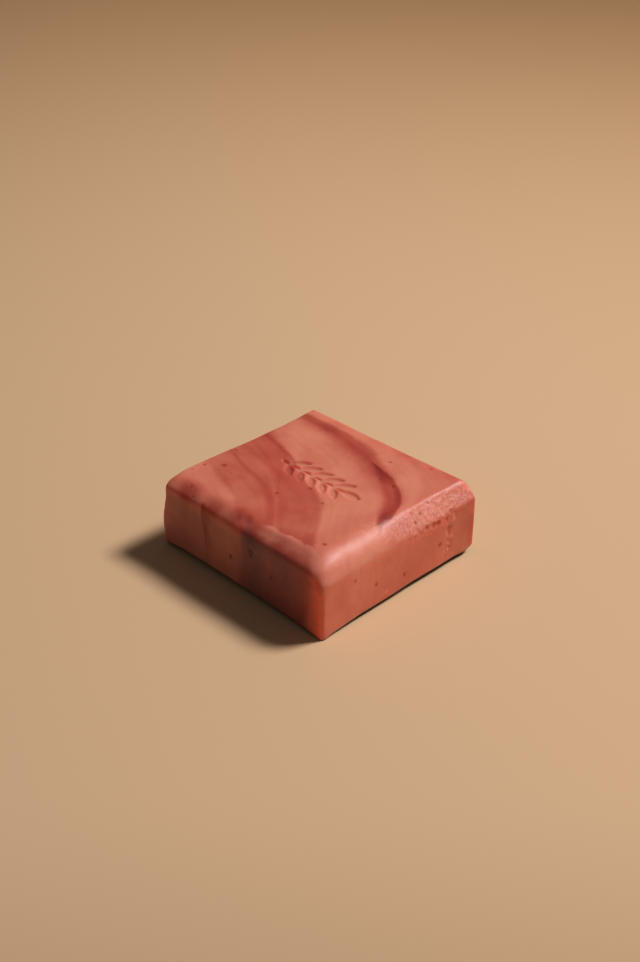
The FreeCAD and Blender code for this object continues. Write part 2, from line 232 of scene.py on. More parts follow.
class SoapSettings(bpy.types.PropertyGroup):
    """What can be changed about the bar."""
    mesh_size: bpy.props.FloatProperty(
        name="Mesh size", description="Width of the bar's faces", default=0.33 * MM, unit="LENGTH"
    )
    rounding: bpy.props.IntProperty(
        name="Rounding", description="How often the edges are smoothed", default=10, min=0
    )
    most_triangles: bpy.props.IntProperty(
        name="Most triangles", description="The mesh is thinned to this", default=190000
    )
    unevenness: bpy.props.FloatProperty(
        name="Unevenness", description="Swell and sag of the cut faces", default=0.5 * MM, unit="LENGTH"
    )
    tear_depth: bpy.props.FloatProperty(
        name="Tear depth", description="Depth of the torn pits", default=0.45 * MM, unit="LENGTH"
    )
    glow_depth: bpy.props.FloatProperty(
        name="Glow depth", description="How far light spreads in the soap", default=6.8 * MM, unit="LENGTH"
    )
    pale: bpy.props.FloatVectorProperty(
        name="Pale soap", description="Lightest soap", subtype="COLOR", default=from_bytes(226, 140, 112)
    )
    salmon: bpy.props.FloatVectorProperty(
        name="Salmon soap", description="The bar's main colour", subtype="COLOR",
        default=from_bytes(210, 116, 93),
    )
    red: bpy.props.FloatVectorProperty(
        name="Red soap", description="The broad red layer", subtype="COLOR", default=from_bytes(187, 82, 63)
    )
    dark: bpy.props.FloatVectorProperty(
        name="Dark soap", description="The dark band", subtype="COLOR", default=from_bytes(164, 50, 36)
    )
    darkest: bpy.props.FloatVectorProperty(
        name="Darkest soap", description="The band's rim and the crumbs", subtype="COLOR",
        default=from_bytes(122, 22, 14),
    )
    # Pale shavings and painted sheen: on the planed edge's front part and the worn front edge this colour
    # is mostly a painted sheen.
    film_and_sheen: bpy.props.FloatVectorProperty(
        name="Film", description="Pale film on the freshly planed edge", subtype="COLOR",
        default=from_bytes(234, 158, 136),
    )
    # Painted shade: the grey-blue dark colour mixed into the shaded front side and edges, partly standing
    # for dulled dirty soap.
    dirt_and_painted_shade: bpy.props.FloatVectorProperty(
        name="Dull soap", description="Worn, dirty soap", subtype="COLOR", default=from_bytes(66, 72, 80)
    )
    # Also painted as shade in the torn hollows.
    crumb: bpy.props.FloatVectorProperty(
        name="Crumbs", description="Crumbs of dark herb", subtype="COLOR", default=from_bytes(146, 34, 16)
    )
    # Painted light: the bright orange painted where light would shine through the soap.
    painted_glow: bpy.props.FloatVectorProperty(
        name="Glow", description="Soap with light shining through it", subtype="COLOR",
        default=from_bytes(244, 116, 90),
    )
    # Painted shade: a near-black colour for the faces that point down at the foot, darkening the gap under
    # the bar.
    foot: bpy.props.FloatVectorProperty(
        name="Foot", description="The worn underside of the foot", subtype="COLOR",
        default=from_bytes(30, 12, 6),
    )


class StageSettings(bpy.types.PropertyGroup):
    """What can be changed about the floor, the lamp and the camera."""
    floor: bpy.props.FloatVectorProperty(
        name="Floor", description="Colour of the floor", subtype="COLOR", default=from_bytes(210, 172, 135)
    )
    # Painted shade: the floor is coloured darker far behind the bar.
    floor_far_painted_shade: bpy.props.FloatVectorProperty(
        name="Far floor", description="Colour of the floor far behind the bar", subtype="COLOR",
        default=from_bytes(190, 146, 104),
    )
    # Painted shade: the floor is coloured darker towards the right and close in front of the bar.
    floor_dim_painted_shade: bpy.props.FloatVectorProperty(
        name="Dim floor", description="Colour of the floor at the picture's dim corners", subtype="COLOR",
        default=from_bytes(140, 104, 70),
    )
    key_power: bpy.props.FloatProperty(
        name="Key lamp", description="Power of the lamp", default=27.4, subtype="POWER"
    )
    key_size: bpy.props.FloatProperty(
        name="Key size", description="Width of the lamp", default=0.38, unit="LENGTH"
    )
    sky: bpy.props.FloatProperty(
        name="Sky", description="Strength of the light from all around", default=0.093
    )
    azimuth: bpy.props.FloatProperty(
        name="Azimuth", description="The camera's way round the bar", default=math.radians(45.46),
        subtype="ANGLE",
    )
    elevation: bpy.props.FloatProperty(
        name="Elevation", description="The camera's height above the floor", default=math.radians(31.16),
        subtype="ANGLE",
    )
    distance: bpy.props.FloatProperty(
        name="Distance", description="From the bar to the camera", default=400.03 * MM, unit="LENGTH"
    )
    shift_right: bpy.props.FloatProperty(
        name="Shift right", description="The camera's step to the right", default=0.82 * MM, unit="LENGTH"
    )
    shift_up: bpy.props.FloatProperty(
        name="Shift up", description="The camera's step up", default=20.21 * MM, unit="LENGTH"
    )
    lens: bpy.props.FloatProperty(
        name="Lens", description="Focal length on a 36 mm sensor, in millimetres", default=48.65
    )


def select_only(item):
    """Select one object and make it the active one."""
    bpy.ops.object.select_all(action="DESELECT")
    item.select_set(True)
    bpy.context.view_layer.objects.active = item


def apply_modifier(item, kind, name, **settings):
    """Add a modifier, set it up and apply it."""
    modifier = item.modifiers.new(name, kind)
    for key, value in settings.items():
        setattr(modifier, key, value)
    select_only(item)
    bpy.ops.object.modifier_apply(modifier=modifier.name)


def read_points(item):
    """The mesh's points in millimetres, one row each."""
    points = np.empty(len(item.data.vertices) * 3, np.float32)
    item.data.vertices.foreach_get("co", points)
    return points.reshape(-1, 3).astype(float) / MM


def read_normals(item):
    """The way out of the mesh at each point."""
    normals = np.empty(len(item.data.vertices) * 3, np.float32)
    item.data.vertex_normals.foreach_get("vector", normals)
    return normals.reshape(-1, 3).astype(float)


def write_points(item, points):
    """Move the mesh's points to these places in millimetres."""
    item.data.vertices.foreach_set("co", (points * MM).astype(np.float32).ravel())
    item.data.update()


def smooth_step(values, low, high):
    """0 below low and 1 above high, with a smooth rise between."""
    share = np.clip((values - low) / (high - low), 0, 1)
    return share * share * (3 - 2 * share)


def near(values, middle, reach):
    """1 at middle, falling smoothly to 0 at reach from it."""
    return 1 - smooth_step(np.abs(values - middle), 0, reach)


def around(points, place, reach):
    """1 at a place, falling smoothly to 0 at reach from it."""
    return 1 - smooth_step(np.linalg.norm(points - np.array(place), axis=1), 0, reach)


def strongest(points, places, share=1.0):
    """1 at any of the places, falling smoothly to 0 at a share of the radius that each has last."""
    nearness = np.zeros(len(points))
    for *place, radius in places:
        nearness = np.maximum(nearness, around(points, place, radius * share))
    return nearness


def copy_solid():
    """A joined-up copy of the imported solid, as the start of the bar."""
    bar = bpy.data.objects.new("soap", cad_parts["soap_bar"].data.copy())
    bpy.context.scene.collection.objects.link(bar)
    bar.data.name = "soap"
    bar.data.materials.clear()
    select_only(bar)
    bpy.ops.object.mode_set(mode="EDIT")
    bpy.ops.mesh.select_all(action="SELECT")
    bpy.ops.mesh.remove_doubles(threshold=0.002 * MM)
    bpy.ops.object.mode_set(mode="OBJECT")
    return bar


def paint_group(item, name, weights):
    """Put weights into a vertex group, in fifty steps."""
    group = item.vertex_groups.new(name=name)
    steps = np.round(weights * 50).astype(int)
    for step in range(1, 51):
        chosen = np.nonzero(steps == step)[0]
        if len(chosen):
            group.add(chosen.tolist(), step / 50, "REPLACE")


def round_edges(bar, times):
    """Soften the edges as hands do, most at the front right corner, and not in the sprig or the foot."""
    points = read_points(bar)
    x, y, z = points.T
    sprig = near(x, SPRIG[0], SPRIG_REACH[0]) * near(y, SPRIG[1], SPRIG_REACH[1])
    sprig *= smooth_step(z, HEIGHT - 3, HEIGHT - 1.5)
    foot = 1 - smooth_step(z, 1.5, 4)
    keep = np.maximum(smooth_step(sprig, 0.02, 0.12), 0.85 * foot)
    right_back = near(np.hypot(x - RIGHT, y - BACK), 0, 9)
    crisp = np.maximum(right_back, around(points, (1 - RIGHT, 4 - BACK, HEIGHT), 9))
    paint_group(bar, "edges", (1 - keep) * (1 - 0.8 * crisp))
    # Where hands have worn the edges round.
    upright = near(np.hypot(x - RIGHT, y + BACK), 0, 7) * smooth_step(z, 12, 19)
    worn = np.maximum(0.8 * around(points, (RIGHT - 3, 3 - BACK, HEIGHT), 12), 0.5 * upright)
    bevel_top = smooth_step(planed_depth(points), -3.5, -1.5) * (1 - 0.9 * smooth_step(y, -6, 10))
    depth = front_depth(points)
    front_top = near(depth, 0, 4) * smooth_step(z, HEIGHT - 6, HEIGHT - 4)
    front_low = near(depth, 5, 5) * smooth_step(z, HEIGHT - 9, HEIGHT - 6)
    front_edge = np.maximum(front_top, front_low) * (0.4 + 0.6 * smooth_step(x, -28, -16))
    paint_group(bar, "worn", np.maximum(worn, np.maximum(bevel_top, front_edge)) * (1 - keep))
    apply_modifier(bar, "SMOOTH", "Even out", factor=0.5, iterations=3)
    apply_modifier(bar, "SMOOTH", "Round edges", factor=0.5, iterations=times, vertex_group="edges")
    apply_modifier(bar, "SMOOTH", "Wear corner", factor=0.5, iterations=times * 24, vertex_group="worn")


def planed_depth(points):
    """How far in from its borders each point lies on the planed right edge, below 0 outside it."""
    x, y, z = points.T
    inset = np.interp(y, (-BACK, BACK), RIGHT_BEVEL)
    drop = HEIGHT - inset * RIGHT_SLOPE
    return np.minimum(x - (RIGHT - inset), z - drop) / math.cos(math.atan(RIGHT_SLOPE))


def front_depth(points):
    """How far in front of the border of the worn front edge each point lies."""
    return -BACK + np.interp(points[:, 0], *FRONT_BEVEL) - points[:, 1]


def roll_planed_edge(points):
    """Make the planed right edge rounder in front than the plane left it behind."""
    y = points[:, 1]
    moved = points.copy()
    depth = np.clip(planed_depth(points) / SWELL_WIDTH, 0, 1)
    bulge = SWELL * depth * (2 - depth) * (1 - smooth_step(y, -12, 6)) * smooth_step(y, -BACK, 4 - BACK)
    moved[:, 0] += bulge * math.sin(math.atan(RIGHT_SLOPE))
    moved[:, 2] += bulge * math.cos(math.atan(RIGHT_SLOPE))
    return moved


def run_out_of_true(points):
    """Let the hand-cut sides and edges run out of true."""
    x, y, z = points.T
    moved = points.copy()
    left = smooth_step(-x, RIGHT - 6, RIGHT - 1.5)
    # Two cuts made the left side, from above and below, and they miss each other in front.
    ledge = near(y, -BACK, 30)
    moved[:, 0] += 0.45 * left * ledge * smooth_step(z, 11, 14.5)
    moved[:, 0] -= 0.5 * left * ledge * near(z, 8, 7)
    # The plane took most off the left top edge in the middle of its length.
    middle = near(y, 5, 30)
    moved[:, 0] += 0.7 * left * middle * smooth_step(z, 15, HEIGHT)
    moved[:, 2] -= 0.15 * smooth_step(-x, RIGHT - 12, RIGHT - 2) * middle * smooth_step(z, 14, HEIGHT)
    # The right back edge is crisp.
    crisp = near(np.hypot(x - RIGHT, y - BACK), 0, 4)
    moved[:, 0] += 0.4 * crisp
    moved[:, 1] += 0.4 * crisp
    # The foot of the right side is worn higher along its middle.
    foot = smooth_step(x, RIGHT - 3.6, RIGHT - 1.8) * (1 - smooth_step(z, 1.5, 5))
    foot *= smooth_step(y, 2 - BACK, 18 - BACK) * (1 - smooth_step(y, BACK - 10, BACK - 2))
    moved[:, 2] += 0.6 * foot
    # The foot stands full at both front corners and is worn higher between them.
    low = 1 - smooth_step(z, 0.5, 5)
    moved[:, 2] -= 1.2 * low * near(np.hypot(x + RIGHT, y + BACK), 0, 13)
    corner = 1 - smooth_step(np.maximum(RIGHT - x, y + BACK), 1, 5)
    moved[:, 2] -= 0.5 * low * corner
    front = smooth_step(-y, BACK - 4, BACK - 1) * smooth_step(x, -30, -12) * (1 - smooth_step(x, 20, 31))
    moved[:, 2] += 0.6 * low * front
    # A nick in the worn front edge, where its left part ends.
    moved[:, 2] -= 0.5 * strongest(points, [NICK])
    # The front edge has a low ridge to the right of the nick.
    ridge = near(front_depth(points), 1.2, 1.8) * smooth_step(x, 5, 9) * (1 - smooth_step(x, 16, 24))
    moved[:, 2] += 0.2 * ridge * smooth_step(z, HEIGHT - 3, HEIGHT - 1) * (1 + 0.3 * np.sin(0.9 * x))
    return moved


def dent(points, normals, place, radius, depth):
    """Sink the points around a place into the bar, or raise them with a depth below 0."""
    return points - normals * (depth * around(points, place, radius))[:, None]


def mark_surface(bar):
    """Sink the crumbs, raise the chips and tear out the hollows."""
    points = read_points(bar)
    normals = read_normals(bar)
    for x, y, z, radius in CRUMBS:
        points = dent(points, normals, (x, y, z), radius * 1.5, 0.15)
    for y, z, radius in HOLLOWS:
        points = dent(points, normals, (RIGHT, y, z), radius * 1.3, 0.4)
    for y, z, radius in CHIPS:
        points = dent(points, normals, (RIGHT, y, z), radius, -0.3)
    write_points(bar, points)


def crumbly_weights(points):
    """Where the soap tore under the plane: the right bevel's back part, its foot and a streak below."""
    x, y, z = points.T
    side = smooth_step(x, RIGHT - 2.4, RIGHT - 0.8)
    depth = planed_depth(points)
    bevel = 0.45 * smooth_step(depth, -0.6, 0.8) * smooth_step(y, *TORN_FROM)
    foot = near(z, 17.6, 2.6) * smooth_step(y, 0, 5) * (1 - smooth_step(y, 23, 27))
    streak = near(y, 20.8 + 0.12 * (z - 12), 2.4) * smooth_step(z, 2, 6)
    front = 0.5 * around(points, (-25, 2.6 - BACK, HEIGHT - 1), 8) * near(front_depth(points), 0.6, 1.8)
    return np.clip(bevel + side * np.maximum(foot, streak) + front, 0, 1)


def make_texture(name, kind, size, **settings):
    """A texture for displacing points."""
    texture = bpy.data.textures.new(name, kind)
    texture.noise_scale = size
    for key, value in settings.items():
        setattr(texture, key, value)
    return texture


def roughen(bar, settings):
    """Swell the faces, and tear pits where the soap crumbled."""
    displace = {"texture_coords": "LOCAL", "direction": "NORMAL"}
    for name, size, strength in (("swell", 20 * MM, 1.0), ("waver", 6 * MM, 0.3)):
        texture = make_texture(name, "CLOUDS", size, noise_depth=1)
        apply_modifier(
            bar, "DISPLACE", name.title(), texture=texture, strength=settings.unevenness * strength,
            mid_level=0.6, **displace,
        )
    paint_group(bar, "crumbly", crumbly_weights(read_points(bar)))
    for name, kind, size, share, extra in (
        ("tears", "CLOUDS", 2.2 * MM, 1.0, {"noise_depth": 2}),
        ("flakes", "VORONOI", 1.3 * MM, 0.4, {}),
        ("pits", "CLOUDS", 0.7 * MM, 0.7, {"noise_depth": 1}),
    ):
        texture = make_texture(name, kind, size, **extra)
        apply_modifier(
            bar, "DISPLACE", name.title(), texture=texture, strength=settings.tear_depth * share,
            mid_level=0.65, vertex_group="crumbly", **displace,
        )


def keep_in_place(points):
    """Hold the points above the floor and inside the solid's box."""
    low = np.array(BAR_LOW) / MM
    high = np.array(BAR_HIGH) / MM
    return np.clip(points, low, high)


def thin_mesh(bar, most):
    """Bring the mesh under a number of triangles, where its faces are flattest first."""
    triangles = sum(len(face.vertices) - 2 for face in bar.data.polygons)
    if triangles > most:
        apply_modifier(bar, "DECIMATE", "Thin", ratio=most / triangles)


def draw_curve(corners, steps=8):
    """A smooth line through the corners, as many short straight ones."""
    corners = np.array(corners, float)
    padded = np.vstack((2 * corners[0] - corners[1], corners, 2 * corners[-1] - corners[-2]))
    line = []
    for before, start, end, after in zip(padded, padded[1:], padded[2:], padded[3:]):
        for share in np.arange(steps) / steps:
            cubic = -before + 3 * start - 3 * end + after
            square = 2 * before - 5 * start + 4 * end - after
            line.append(start + 0.5 * share * (end - before + share * (square + share * cubic)))
    line.append(corners[-1])
    return np.array(line)


def measure_from(places, corners):
    """How far each place is from a line, in millimetres, and the line's width beside it.

    Places to the right of the line, as one walks along it, count as positive.
    """
    line = draw_curve([(*corner, 1.0)[:3] for corner in corners])
    best = np.full(len(places), np.inf)
    side = np.zeros(len(places))
    width = np.ones(len(places))
    for start, end in zip(line, line[1:]):
        along = (end - start)[:2]
        offset = places - start[:2]
        share = np.clip(offset @ along / (along @ along), 0, 1)
        gap = offset - share[:, None] * along
        apart = np.hypot(gap[:, 0], gap[:, 1])
        closer = apart < best
        best[closer] = apart[closer]
        side[closer] = np.sign(offset[closer, 0] * along[1] - offset[closer, 1] * along[0])
        width[closer] = start[2] + share[closer] * (end[2] - start[2])
    return best * side, np.maximum(width, 0.05)


def pour(points):
    """Where each point's colour comes from on the top: the sheets lean and ripple on their way down."""
    x, y, z = points.T
    depth = np.clip(HEIGHT - z, 0, HEIGHT)
    left_lean = 3 * (1 - np.exp(-depth / 6))
    middle_lean = 1.5 * np.sin(np.pi * depth / 16)
    middle = smooth_step(x, -14, 4)
    front = smooth_step(-y, BACK - 14, BACK - 3)
    lean = front * (left_lean * (1 - middle) + middle_lean * middle) + (1 - front) * 2.4 * np.sin(depth / 9)
    ripple_x = 0.05 * depth * np.sin(0.21 * y + 0.17 * z + 1.1) * (1 - front)
    ripple_y = 0.05 * depth * np.sin(0.16 * x + 0.23 * z + 2.3)
    return np.column_stack((x - lean + ripple_x, y + ripple_y))


def store(item, name, values):
    """Keep one number for each point of the mesh, for the material to read."""
    attribute = item.data.attributes.new(name, "FLOAT", "POINT")
    attribute.data.foreach_set("value", values.astype(np.float32))


def store_marbling(bar):
    """Store where each point lies in each sheet, from 0 at its line to 1 at its far side."""
    points = read_points(bar)
    poured = pour(points)
    front = smooth_step(front_depth(points), 1.5, 5)
    side = smooth_step(points[:, 0], RIGHT - 5, RIGHT - 2)
    # Some sheets thin out before they reach a side, or on their way down it.
    hidden = {"dark_streak": front, "pale_streak": front, "band": side, "band_rim": side, "band_core": side}
    hidden["front_vein"] = 0.75 * (1 - smooth_step(points[:, 2], 5, 15))
    for name, corners in SHEETS.items():
        distance, width = measure_from(poured, corners)
        store(bar, name, distance / width)
        store(bar, f"{name}_strength", smooth_step(width, 0.1, 0.9) * (1 - hidden.get(name, 0)))
    distances = {name: measure_from(poured, corners)[0] for name, corners in EDGES.items()}
    for name, distance in distances.items():
        store(bar, name, distance / (1 + 2.5 * side))
    # The streaks in the soap run beside its sheets: a height that grows across them.
    levels = [
        (measure_from(poured, SHEETS["band"])[0], 0),
        (distances["red_upper"], 22),
        (distances["red_lower"], 38),
    ]
    pulls = [(np.abs(distance) + 2) ** -2.0 for distance, level in levels]
    flow = sum(pull * (distance + level) for pull, (distance, level) in zip(pulls, levels)) / sum(pulls)
    store(bar, "flow", flow)


def front_side(points):
    """1 on the front side, and 0 behind it."""
    return smooth_step(-points[:, 1], BACK - 1.4, BACK - 0.3)


def store_spots(bar):
    """Store where the crumbs, the chips, the hollows and the soft patches of tone, painted light and
    painted shade are.
    """
    points = read_points(bar)
    crumb = np.full(len(points), 4.0)
    for *place, radius in CRUMBS:
        apart = np.linalg.norm(points - np.array(place), axis=1)
        crumb = np.minimum(crumb, apart / (1.15 * radius))
    store(bar, "crumb", crumb)
    store(bar, "chip", strongest(points, [(RIGHT, *spot) for spot in CHIPS], 1.6))
    store(bar, "painted_hollow_shade", strongest(points, [(RIGHT, *spot) for spot in HOLLOWS], 1.8))
    tone_and_painted_light = np.zeros(len(points))
    for *place, radius, change in TONE_AND_PAINTED_LIGHT_PATCHES:
        tone_and_painted_light += change * around(points, place, radius)
    store(bar, "tone_and_painted_light", tone_and_painted_light)


def store_wear(bar):
    """Store the painted shade with some dulled soap, the painted light at the front right corner and the
    painted shade under the foot.
    """
    points = read_points(bar)
    x, y, z = points.T
    # Painted shade, with some dulled soap, darkens the front side below the worn edge, and the worn edge
    # reaches lower on the left.
    starts = np.interp(x, (-2, 4), (17.5, 19.5))
    face = smooth_step(-y, BACK - 2.4, BACK - 0.8)
    face *= 1 - smooth_step(z - starts, 0, 3.3)
    bright = 1 - face * np.interp(x, *FRONT_DULL_AND_PAINTED_SHADE)
    for *place, radius, strength in DULL_AND_PAINTED_SHADE:
        bright *= 1 - strength * around(points, place, radius)
    store(bar, "dull_and_painted_shade", 1 - bright)
    # Painted light: orange on the right side's front part and at the front right corner, as if light shone
    # through the soap.
    side = smooth_step(x, RIGHT - 1.6, RIGHT - 0.6) * (1 - smooth_step(planed_depth(points), -2, 0))
    side *= 1 - smooth_step(y, 18, 29)
    store(bar, "painted_glow", np.maximum(strongest(points, PAINTED_GLOWS) * front_side(points), 0.3 * side))
    # Painted shade under the bar: near-black on the faces that point down near the floor.
    under = smooth_step(-read_normals(bar)[:, 2], 0.15, 0.4) * (1 - smooth_step(z, 2.5, 4))
    store(bar, "foot", under)


def store_planing(bar):
    """Store where the edges are planed, torn, worn and smeared."""
    points = read_points(bar)
    x, y, z = points.T
    store(bar, "smear", strongest(points, [SMEAR]))
    store(bar, "crumbly", crumbly_weights(points))
    store(bar, "planed", planed_depth(points) - 4 * front_side(points))
    store(bar, "torn_share", smooth_step(y, *TORN_FROM))
    store(bar, "worn_front", front_depth(points) + 9 * (1 - smooth_step(z, HEIGHT - 5, HEIGHT - 3)))
    store(bar, "worn_share", smooth_step(x, 4, 9) * (1 - 0.4 * smooth_step(x, 20, 27)))


class Wiring:
    """Adds nodes to a tree and joins them up, left to right."""

    def __init__(self, tree):
        self.tree = tree
        self.column = 0

    def add(self, kind, inputs=None, **settings):
        """A node with its settings, and its inputs set to numbers or joined to sockets."""
        node = self.tree.nodes.new(kind)
        node.location = (self.column * 190, -(self.column % 4) * 160)
        self.column += 1
        for key, value in settings.items():
            setattr(node, key, value)
        for key, value in (inputs or {}).items():
            if isinstance(value, bpy.types.NodeSocket):
                self.tree.links.new(value, node.inputs[key])
            else:
                node.inputs[key].default_value = value
        return node

    def math(self, operation, *values, clamp=False):
        """The result of some arithmetic."""
        inputs = dict(enumerate(values))
        return self.add("ShaderNodeMath", inputs, operation=operation, use_clamp=clamp).outputs[0]

    def scaled(self, value, weight):
        """A value times a weight."""
        return self.math("MULTIPLY", value, weight)

    def group(self, tree, inputs):
        """A node group's outputs, with its inputs set."""
        return self.add("ShaderNodeGroup", inputs, node_tree=tree).outputs

    def total(self, *values):
        """The sum of all the values."""
        result = values[0]
        for value in values[1:]:
            result = self.math("ADD", result, value)
        return result

    def rise(self, value, low, high, start=0.0, end=1.0):
        """A smooth change from start to end while value goes from low to high."""
        inputs = {"Value": value, "From Min": low, "From Max": high, "To Min": start, "To Max": end}
        node = self.add("ShaderNodeMapRange", inputs, interpolation_type="SMOOTHSTEP")
        return node.outputs["Result"]

    def noise(self, vector, scale, detail=2.0, roughness=0.5):
        """Even noise around a half."""
        inputs = {"Vector": vector, "Scale": scale, "Detail": detail, "Roughness": roughness}
        return self.add("ShaderNodeTexNoise", inputs).outputs["Fac"]

    def stored(self, name):
        """A number stored on the mesh."""
        return self.add("ShaderNodeAttribute", attribute_name=name).outputs["Fac"]

    def mix(self, factor, first, second):
        """A colour between two."""
        node = self.add("ShaderNodeMix", data_type="RGBA")
        for key, value in ((0, factor), (6, first), (7, second)):
            if isinstance(value, bpy.types.NodeSocket):
                self.tree.links.new(value, node.inputs[key])
            else:
                node.inputs[key].default_value = value
        return node.outputs[2]


def make_group(name, inputs, outputs):
    """An empty node group with these sockets, its wiring, and its input and output sockets."""
    tree = bpy.data.node_groups.new(name, "ShaderNodeTree")
    for label, kind, default in inputs:
        socket = tree.interface.new_socket(name=label, in_out="INPUT", socket_type=kind)
        if default is not None:
            socket.default_value = default
    for label, kind in outputs:
        tree.interface.new_socket(name=label, in_out="OUTPUT", socket_type=kind)
    wiring = Wiring(tree)
    entry = wiring.add("NodeGroupInput")
    leave = wiring.add("NodeGroupOutput")
    return tree, wiring, entry.outputs, leave.inputs


def make_sheet_group():
    """A sheet of coloured soap from 0 at its rim to 1 at its far side, with frayed edges."""
    value = "NodeSocketFloat"
    tree, wiring, given, result = make_group(
        "Sheet of soap",
        [
            ("Share", value, 0.0), ("Fray", value, 0.5), ("Fraying", value, 0.3),
            ("Rim softness", value, 0.3), ("Far softness", value, 0.5),
        ],
        [("Mask", value)],
    )
    shift = wiring.math("MULTIPLY", wiring.math("SUBTRACT", given["Fray"], 0.5), given["Fraying"])
    share = wiring.math("ADD", given["Share"], shift)
    half_rim = wiring.math("MULTIPLY", given["Rim softness"], 0.5)
    rim = wiring.rise(share, wiring.math("MULTIPLY", half_rim, -1), half_rim)
    half_far = wiring.math("MULTIPLY", given["Far softness"], 0.5)
    start = wiring.math("SUBTRACT", 1, half_far)
    far = wiring.rise(share, start, wiring.math("ADD", 1, half_far), 1.0, 0.0)
    tree.links.new(wiring.math("MULTIPLY", rim, far), result["Mask"])
    return tree


def make_unevenness_group():
    """Uneven values for fraying edges and clouding: coarse and fine waves, and streaks along the flow."""
    value, vector = "NodeSocketFloat", "NodeSocketVector"
    tree, wiring, given, result = make_group(
        "Marbling unevenness", [("Vector", vector, None), ("Flow", value, 0.0)],
        [("Fray", value), ("Cloud", value), ("Streaks", value)],
    )
    coarse = wiring.math("MULTIPLY", wiring.noise(given["Vector"], 190, 3, 0.55), 0.72)
    fine = wiring.math("MULTIPLY", wiring.noise(given["Vector"], 1000, 3, 0.6), 0.28)
    across = wiring.add("ShaderNodeSeparateXYZ", {0: given["Vector"]}).outputs
    streak_inputs = {0: given["Flow"], 1: wiring.scaled(across[0], 90), 2: wiring.scaled(across[2], 140)}
    streak_place = wiring.add("ShaderNodeCombineXYZ", streak_inputs).outputs[0]
    tree.links.new(wiring.math("ADD", coarse, fine), result["Fray"])
    tree.links.new(wiring.noise(given["Vector"], 75, 3, 0.55), result["Cloud"])
    tree.links.new(wiring.noise(streak_place, 0.55, 4, 0.6), result["Streaks"])
    return tree


def make_grain_group():
    """The fine unevenness of cut soap: a height, and a mask of tiny dark grains."""
    value, vector = "NodeSocketFloat", "NodeSocketVector"
    tree, wiring, given, result = make_group(
        "Cut grain", [("Vector", vector, None), ("Grain size", value, 1.0)],
        [("Height", value), ("Grains", value)],
    )
    stretched = wiring.add("ShaderNodeMapping", {"Vector": given["Vector"], "Scale": (1.0, 0.55, 1.0)})
    stretched = stretched.outputs["Vector"]
    grain = wiring.noise(stretched, wiring.math("DIVIDE", 900, given["Grain size"]), 4, 0.6)
    wave = wiring.noise(stretched, wiring.math("DIVIDE", 140, given["Grain size"]), 2)
    height = wiring.math("ADD", wiring.math("MULTIPLY", grain, 0.35), wiring.math("MULTIPLY", wave, 0.65))
    cells = wiring.add("ShaderNodeTexVoronoi", {"Vector": given["Vector"], "Scale": 330.0})
    pick = wiring.add("ShaderNodeSeparateColor", {"Color": cells.outputs["Color"]}).outputs[0]
    chosen = wiring.math("GREATER_THAN", pick, 0.93)
    dot = wiring.rise(cells.outputs["Distance"], 0.05, 0.13, 1.0, 0.0)
    tree.links.new(height, result["Height"])
    tree.links.new(wiring.math("MULTIPLY", dot, chosen), result["Grains"])
    return tree


def wire_marbling(wiring, uneven, settings):
    """The marbling's colour: each sheet changes the tone, and the tone picks the colour."""
    sheet_tree = make_sheet_group()

    def sheet(name, rim, far, fraying, weight):
        """A sheet's change of tone; its softness and fraying are shares of its width."""
        inputs = {
            "Share": wiring.stored(name), "Fray": uneven["Fray"], "Fraying": fraying,
            "Rim softness": rim, "Far softness": far,
        }
        mask = wiring.group(sheet_tree, inputs)["Mask"]
        return wiring.scaled(mask, wiring.scaled(wiring.stored(f"{name}_strength"), weight))

    def beyond(name, softness, fraying):
        """1 to the front of a line, 0 behind it."""
        shift = wiring.scaled(wiring.math("SUBTRACT", uneven["Fray"], 0.5), fraying)
        return wiring.rise(wiring.math("ADD", wiring.stored(name), shift), -softness / 2, softness / 2)

    def behind(name, softness, fraying):
        """0 to the front of a line, 1 behind it."""
        return wiring.math("SUBTRACT", 1, beyond(name, softness, fraying))

    corner = behind("corner_edge", 3.5, 4.5)
    red = wiring.math("MULTIPLY", beyond("red_upper", 2.6, 3.0), behind("red_lower", 2.4, 3.5))
    wedge = wiring.math("MULTIPLY", beyond("red_upper", 2.2, 2.5), behind("wedge_edge", 2.0, 2.0))
    # The soft patches bring painted light and shade into the tone, besides the soap's own tone.
    tone = wiring.total(
        0.22, wiring.stored("tone_and_painted_light"),
        wiring.rise(uneven["Cloud"], 0.3, 0.7, -0.08, 0.08),
        wiring.rise(uneven["Streaks"], 0.28, 0.72, -0.03, 0.03),
        wiring.scaled(corner, 0.17), wiring.scaled(red, 0.2), wiring.scaled(wedge, 0.1),
        *[sheet(name, *look) for name, look in SHEET_LOOKS.items()],
    )
    ramp = wiring.add("ShaderNodeValToRGB", {"Fac": tone})
    stops = [
        (0.0, settings.pale), (0.25, settings.salmon), (0.52, settings.red), (0.78, settings.dark),
        (1.0, settings.darkest),
    ]
    while len(ramp.color_ramp.elements) < len(stops):
        ramp.color_ramp.elements.new(0.5)
    for element, (position, colour) in zip(ramp.color_ramp.elements, stops):
        element.position = position
        element.color = (*colour, 1.0)
    return ramp.outputs["Color"]


